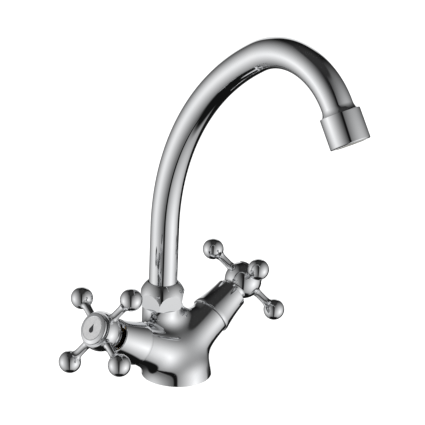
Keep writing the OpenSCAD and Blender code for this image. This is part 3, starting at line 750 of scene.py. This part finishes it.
# %% Sockets as values
class Socket:
    """An output in a network of nodes. Arithmetic on it adds Math nodes."""

    def __init__(self, finish, output):
        self.finish = finish
        self.output = output

    def maths(self, operation, first, second=0.0):
        return self.finish.node("ShaderNodeMath", {"operation": operation}, {0: first, 1: second})

    def __add__(self, other):
        return self.maths("ADD", self, other)

    def __radd__(self, other):
        return self.maths("ADD", other, self)

    def __sub__(self, other):
        return self.maths("SUBTRACT", self, other)

    def __rsub__(self, other):
        return self.maths("SUBTRACT", other, self)

    def __mul__(self, other):
        return self.maths("MULTIPLY", self, other)

    def __rmul__(self, other):
        return self.maths("MULTIPLY", other, self)


class Finish:
    """A network of nodes: a material's, or the surroundings'."""

    def __init__(self, tree):
        self.tree = tree
        self.tree.nodes.clear()

    def node(self, kind, settings=None, inputs=None, output=0):
        """Adds a node, sets it, fills or links its sockets and returns one output."""
        node = self.tree.nodes.new(kind)
        for name, value in (settings or {}).items():
            setattr(node, name, value)
        for key, value in (inputs or {}).items():
            self.plug(node.inputs[key], value)
        return Socket(self, node.outputs[output]) if node.outputs else node

    def plug(self, socket, value):
        """Links a socket to a Socket, or sets it to a plain value."""
        if isinstance(value, Socket):
            self.tree.links.new(value.output, socket)
        else:
            socket.default_value = value


print("node tools ready")

# %% [markdown]
# ## The studio
# Polished chrome has almost no look of its own: it shows the room. A photographer hangs large
# soft white panels on both sides and leaves dark gaps between them, because the dark lines draw
# the shape. Panels could be built as glowing planes, but painted on the surroundings they fade
# as softly as wanted and cost nothing to render. Only mirror-like rays see the panels. The floor
# and the background are lit by an even white dome, so they stay plain and pale.

# %% Directions in the studio
studio = bpy.data.worlds.new("studio")
bpy.context.scene.world = studio
studio.use_nodes = True
sky = Finish(studio.node_tree)
outward = sky.node("ShaderNodeTexCoord")
split = sky.tree.nodes.new("ShaderNodeSeparateXYZ")
sky.plug(split.inputs[0], outward)
east, north, height = (Socket(sky, output) for output in split.outputs)
FRONT = math.degrees(CAMERA_TURN)


def degrees(value):
    """An angle socket in degrees."""
    return value * (180 / math.pi)


def heading():
    """The heading of a direction in degrees, 0 towards the front and 90 to its right."""
    a = math.radians(FRONT)
    along = east * math.sin(a) - north * math.cos(a)
    across = east * math.cos(a) + north * math.sin(a)
    return degrees(sky.node("ShaderNodeMath", {"operation": "ARCTAN2"}, {0: across, 1: along}))


def fade(value, full, none):
    """A smooth step that is 1 at one value and 0 at the other."""
    settings = {"interpolation_type": "SMOOTHSTEP"}
    if full < none:
        return sky.node("ShaderNodeMapRange", settings, {0: value, 1: full, 2: none, 3: 1.0, 4: 0.0})
    return sky.node("ShaderNodeMapRange", settings, {0: value, 1: none, 2: full, 3: 0.0, 4: 1.0})


turn = heading()
rise = degrees(sky.node("ShaderNodeMath", {"operation": "ARCSINE"}, {0: height}))
print("the studio's front faces", round(FRONT, 1), "degrees")


# %% [markdown]
# A panel is brightest where its lamp stands behind the cloth, and fades evenly from there. So it
# is a cone of light: the angle between a direction and the middle of the panel, mapped from full
# power to none.

# %% Panels
FALLOFF = 1.3


def panel(azimuth, elevation, reach, power):
    """The light of one panel: its middle, the angle at which it has faded out, and its power."""
    a, e = math.radians(FRONT + azimuth), math.radians(elevation)
    middle = (math.sin(a) * math.cos(e), -math.cos(a) * math.cos(e), math.sin(e))
    dot = sky.node("ShaderNodeVectorMath", {"operation": "DOT_PRODUCT"}, {0: outward, 1: middle}, output=1)
    angle = degrees(sky.node("ShaderNodeMath", {"operation": "ARCCOSINE"}, {0: dot}))
    near = sky.node("ShaderNodeMapRange", {}, {0: angle, 1: 0.0, 2: reach, 3: 1.0, 4: 0.0})
    return sky.node("ShaderNodeMath", {"operation": "POWER"}, {0: near, 1: FALLOFF}) * power


def strip(value, middle, half, soft):
    """1 within a half width of a middle value, 0 outside it, with soft edges."""
    aside = sky.node("ShaderNodeMath", {"operation": "ABSOLUTE"}, {0: value - middle})
    return fade(aside, half - soft, half + soft)


PANEL_POWER = 1.3
left_panel = panel(-80, -10, 86, 0.92 * PANEL_POWER)
right_panel = panel(67, -14, 92, PANEL_POWER)
panels = sky.node("ShaderNodeMath", {"operation": "MAXIMUM"}, {0: left_panel, 1: right_panel})
print("two panels of power", PANEL_POWER)

# %% [markdown]
# Between the panels stands the black flag with the lens in its middle. Another flag stands low
# behind the tap on the right, the white backdrop is straight behind it, and the ceiling and the
# table's underside stay dark.

# %% Flags and backdrop
lens_flag = strip(turn, 0, 6.5, 3)
right_flag = fade(turn, 127, 117) * fade(rise, -20, -6)
ceiling = fade(rise, 70, 60)
underside = fade(rise, -72, -62)
lit = (1 - lens_flag) * (1 - right_flag) * (1 - ceiling) * (1 - underside)
behind = sky.node("ShaderNodeMath", {"operation": "ABSOLUTE"}, {0: turn})
backdrop = fade(behind, 166, 156) * strip(rise, -2, 28, 6)
ROOM = 0.008
spill = fade(rise, 80, 35) * 0.03 + ROOM
glow = panels * lit + backdrop * 0.9 + spill
print("flags and backdrop set")

# %% Light and dome
paths = sky.tree.nodes.new("ShaderNodeLightPath")
mirrored = Socket(sky, paths.outputs["Is Glossy Ray"])
DOME = 1.6
seen = mirrored * glow + (1 - mirrored) * DOME
white = sky.node("ShaderNodeCombineXYZ", {}, {0: seen, 1: seen, 2: seen})
background = sky.node("ShaderNodeBackground", {}, {"Color": white, "Strength": 1.0})
sky.node("ShaderNodeOutputWorld", {}, {"Surface": background})
scene = bpy.context.scene
scene.view_settings.view_transform = "Standard"
scene.view_settings.look = "None"
print("dome strength", DOME)

# %% Floor
FLOOR_SIDE = 4.0


def add_floor():
    """A plain pale floor that the chrome doesn't mirror."""
    deselect()
    bpy.ops.mesh.primitive_plane_add(size=FLOOR_SIDE, location=(0, 0, -0.0002))
    floor = bpy.context.object
    floor.name = "floor"
    paint = bpy.data.materials.new("floor_paint")
    paint.use_nodes = True
    coat = Finish(paint.node_tree)
    matt = coat.node("ShaderNodeBsdfDiffuse", inputs={"Color": (0.92, 0.92, 0.92, 1)})
    lit_through = coat.node("ShaderNodeEmission", inputs={"Color": (1, 1, 1, 1), "Strength": 1.25})
    surface = coat.node("ShaderNodeMixShader", inputs={0: 0.8, 1: matt, 2: lit_through})
    coat.node("ShaderNodeOutputMaterial", inputs={"Surface": surface})
    floor.data.materials.append(paint)
    floor.visible_glossy = False
    return floor


add_floor()
print("floor", FLOOR_SIDE, "m wide")

# %% [markdown]
# ## Materials
# Polished plate is never quite even: a casting keeps a soft ripple from the grinding belt, a
# turned piece keeps fine rings, and wiping leaves a faint haze. Every material is built the same
# way, from a pair of colours that mingle, a range of roughness and a relief of a few layers.
# Patterns are read from Object coordinates. A Mapping node brings them onto the axis of the
# piece, in millimetres, so that the rings on a leaning valve run round its own axis.


# %% Patterns
def seen_from(coat, place):
    """Object coordinates in mm, with Z along a place's axis."""
    where = coat.node("ShaderNodeTexCoord", output=3)
    onto = {0: where, 1: place.translation, 2: place.to_euler(), 3: (MM, MM, MM)}
    return coat.node("ShaderNodeMapping", {"vector_type": "TEXTURE"}, onto)


def parts_of(coat, vector):
    """The three numbers of a vector."""
    split = coat.tree.nodes.new("ShaderNodeSeparateXYZ")
    coat.plug(split.inputs[0], vector)
    return [Socket(coat, output) for output in split.outputs]


def clouds(coat, where, size, detail=2.0):
    """Soft noise between 0 and 1 with patches of a size in mm."""
    return coat.node("ShaderNodeTexNoise", {}, {"Vector": where, "Scale": 1 / size, "Detail": detail})


def rings(coat, where, pitch):
    """Fine uneven rings about the axis, as a turning tool leaves on sides and faces."""
    x, y, z = parts_of(coat, where)
    radius = coat.node("ShaderNodeMath", {"operation": "SQRT"}, {0: x * x + y * y})
    along = (z + radius * 0.8) * (1 / pitch)
    return coat.node("ShaderNodeTexNoise", {"noise_dimensions": "1D"}, {"W": along, "Scale": 1.0, "Detail": 3.0})


def mingle(coat, share, one, other):
    """A colour between two colours."""
    return coat.node("ShaderNodeMix", {"data_type": "RGBA"}, {0: share, 6: (*one, 1), 7: (*other, 1)}, output=2)


def between(coat, value, low, high):
    """Takes a noise value to a range, stretched so that most of the range is used."""
    return coat.node("ShaderNodeMapRange", {}, {0: value, 1: 0.3, 2: 0.7, 3: low, 4: high})


PATTERNS = {"clouds": clouds, "rings": rings}
print(len(PATTERNS), "patterns")

# %% [markdown]
# A recipe is a line of a table: two colours and the size of their patches in mm, the range of
# the roughness, the relief as (pattern, size in mm, height in micrometres), and how metallic it
# is. The heights are true to the real surfaces. A few micrometres are all that polishing leaves.

# %% Recipes
PLATE = ((0.80, 0.805, 0.815), (0.775, 0.785, 0.80), 22)
RECIPES = {
    "chrome_casting": (PLATE, (0.015, 0.05), [("clouds", 9, 9.0), ("clouds", 1.4, 0.25)], 1.0),
    "chrome_turned": (PLATE, (0.012, 0.04), [("rings", 0.5, 0.5), ("clouds", 12, 3.0)], 1.0),
    "chrome_tube": (PLATE, (0.012, 0.045), [("clouds", 16, 5.0), ("clouds", 2.5, 0.3)], 1.0),
    "chrome_handle": (PLATE, (0.012, 0.04), [("rings", 0.6, 0.5), ("clouds", 7, 1.5)], 1.0),
    "chrome_small": (PLATE, (0.03, 0.09), [("rings", 0.3, 0.6)], 1.0),
    "brass": (((0.62, 0.43, 0.17), (0.34, 0.21, 0.08), 5), (0.22, 0.42), [("rings", 0.35, 4.0)], 1.0),
    "spring_steel": (((0.33, 0.33, 0.34), (0.20, 0.19, 0.19), 2), (0.25, 0.4), [("clouds", 0.5, 2.0)], 1.0),
    "ceramic": (((0.45, 0.43, 0.39), (0.40, 0.37, 0.32), 1.5), (0.08, 0.2), [("clouds", 0.4, 0.8)], 0.0),
    "black_rubber": (((0.012, 0.012, 0.013), (0.03, 0.03, 0.031), 3), (0.5, 0.75), [("clouds", 0.5, 9.0)], 0.0),
    "nylon": (((0.46, 0.45, 0.41), (0.40, 0.385, 0.34), 4), (0.3, 0.5), [("clouds", 0.8, 5.0)], 0.0),
    "fibre": (((0.17, 0.045, 0.025), (0.08, 0.02, 0.012), 0.8), (0.7, 0.9), [("clouds", 0.3, 14.0)], 0.0),
}


def surface_of(coat, recipe, place):
    """The shader of a recipe, with its patterns about a place's axis."""
    (one, other, patch), (smooth, rough), relief, metallic = recipe
    where = seen_from(coat, place)
    share = between(coat, clouds(coat, where, patch), 0, 1)
    haze = clouds(coat, where, patch * 0.6, detail=4.0)
    heights = [PATTERNS[kind](coat, where, size) * height for kind, size, height in relief]
    bumps = coat.node("ShaderNodeBump", inputs={"Distance": 1e-6, "Height": sum(heights[1:], heights[0])})
    return coat.node("ShaderNodeBsdfPrincipled", inputs={
        "Base Color": mingle(coat, share, one, other), "Roughness": between(coat, haze, smooth, rough),
        "Metallic": metallic, "Normal": bumps})


print(len(RECIPES), "recipes")

# %% [markdown]
# The index disc is satin metal with a small printed mark. The mark is a drop: a round foot and
# two sides that close to a point. It stands upright when the handle is closed, so it is laid out
# on the valve's own axes, where up is +X on the hot side and -X on the cold side.

# %% Index mark
DROP_R, DROP_TIP = 1.9, 4.6
SATIN = (((0.40, 0.40, 0.40), (0.36, 0.36, 0.365), 2.5), (0.35, 0.5), [("rings", 0.25, 2.0)], 0.0)
INK = (0.012, 0.012, 0.014)


def drop_mark(coat, where, up):
    """1 inside the drop and 0 outside it. Up is +1 or -1, the sign of X."""
    x, y, _ = parts_of(coat, where)
    rise_mm = x * up + 1.3
    aside = coat.node("ShaderNodeMath", {"operation": "ABSOLUTE"}, {0: y})
    radius = coat.node("ShaderNodeMath", {"operation": "SQRT"}, {0: rise_mm * rise_mm + y * y})
    foot = fade_on(coat, radius, DROP_R)
    half = coat.node("ShaderNodeMapRange", {}, {0: rise_mm, 1: 0.6, 2: DROP_TIP, 3: DROP_R * 0.9, 4: 0.0})
    point = fade_on(coat, aside - half, 0) * (1 - fade_on(coat, rise_mm, 0.6))
    return coat.node("ShaderNodeMath", {"operation": "MAXIMUM"}, {0: foot, 1: point})


def fade_on(coat, value, edge):
    """1 below an edge and 0 above it, with a printed edge's softness."""
    return coat.node("ShaderNodeMapRange", {}, {0: value, 1: edge - 0.06, 2: edge + 0.06, 3: 1.0, 4: 0.0})


def index_surface(coat, place, up):
    """Satin metal with the mark printed on it."""
    surface = surface_of(coat, SATIN, place)
    ink = coat.node("ShaderNodeBsdfPrincipled", inputs={"Base Color": (*INK, 1), "Roughness": 0.4})
    mark = drop_mark(coat, seen_from(coat, place), up)
    return coat.node("ShaderNodeMixShader", inputs={0: mark, 1: surface, 2: ink})


print("drop", DROP_R + DROP_TIP, "mm tall")

# %% [markdown]
# Each piece gets its own material, because the axis of its patterns is its own. The pieces that
# the engineering model already shows well, such as seals, discs and screws, keep their shape and
# only get a material.

# %% Dressing the pieces
INNER_SLOTS = {
    "base_seal": "black_rubber", "spout_spigot": "brass", "spout_orings": "black_rubber",
    "slip_washer": "nylon", "aerator_washer": "black_rubber", "flow_straightener": "nylon",
    "aerator_screen": "nylon", "bonnet": "brass", "fibre_washer": "fibre", "seat_seal": "black_rubber",
    "fixed_disc": "ceramic", "moving_disc": "ceramic", "spindle": "brass",
    "spindle_oring": "black_rubber", "thrust_washer": "nylon", "spindle_clip": "spring_steel",
    "handle_screw": "brass",
}


def axis_of(name):
    """The place whose axis a piece's patterns run about."""
    side, _, kind = name.partition("_")
    if side in VALVES and kind.startswith("arm_"):
        quarter = Matrix.Rotation((int(kind[-1]) - 1) * math.pi / 2, 4, "Z")
        return HANDLES[side] @ quarter @ ARM
    if side in VALVES:
        return VALVES[side]
    if name.startswith(("outlet", "aerator", "flow")):
        return OUTLET
    return NECK


def dress(piece, slot):
    """Gives a piece its one material."""
    material = bpy.data.materials.new(piece.name + "_finish")
    material.use_nodes = True
    coat = Finish(material.node_tree)
    if slot == "index_enamel":
        side = piece.name.partition("_")[0]
        surface = index_surface(coat, VALVES[side], {"hot": 1.0, "cold": -1.0}[side])
    else:
        surface = surface_of(coat, RECIPES[slot], axis_of(piece.name))
    coat.node("ShaderNodeOutputMaterial", inputs={"Surface": surface})
    piece.data.materials.clear()
    piece.data.materials.append(material)


for name, slot in made.items():
    dress(bpy.data.objects[name], slot)
inner = {name: INNER_SLOTS.get(name.removeprefix("hot_").removeprefix("cold_")) for name in nodes}
for name, slot in inner.items():
    if slot:
        dress(nodes[name], slot)
print(len(made), "new pieces and", sum(map(bool, inner.values())), "kept ones dressed")
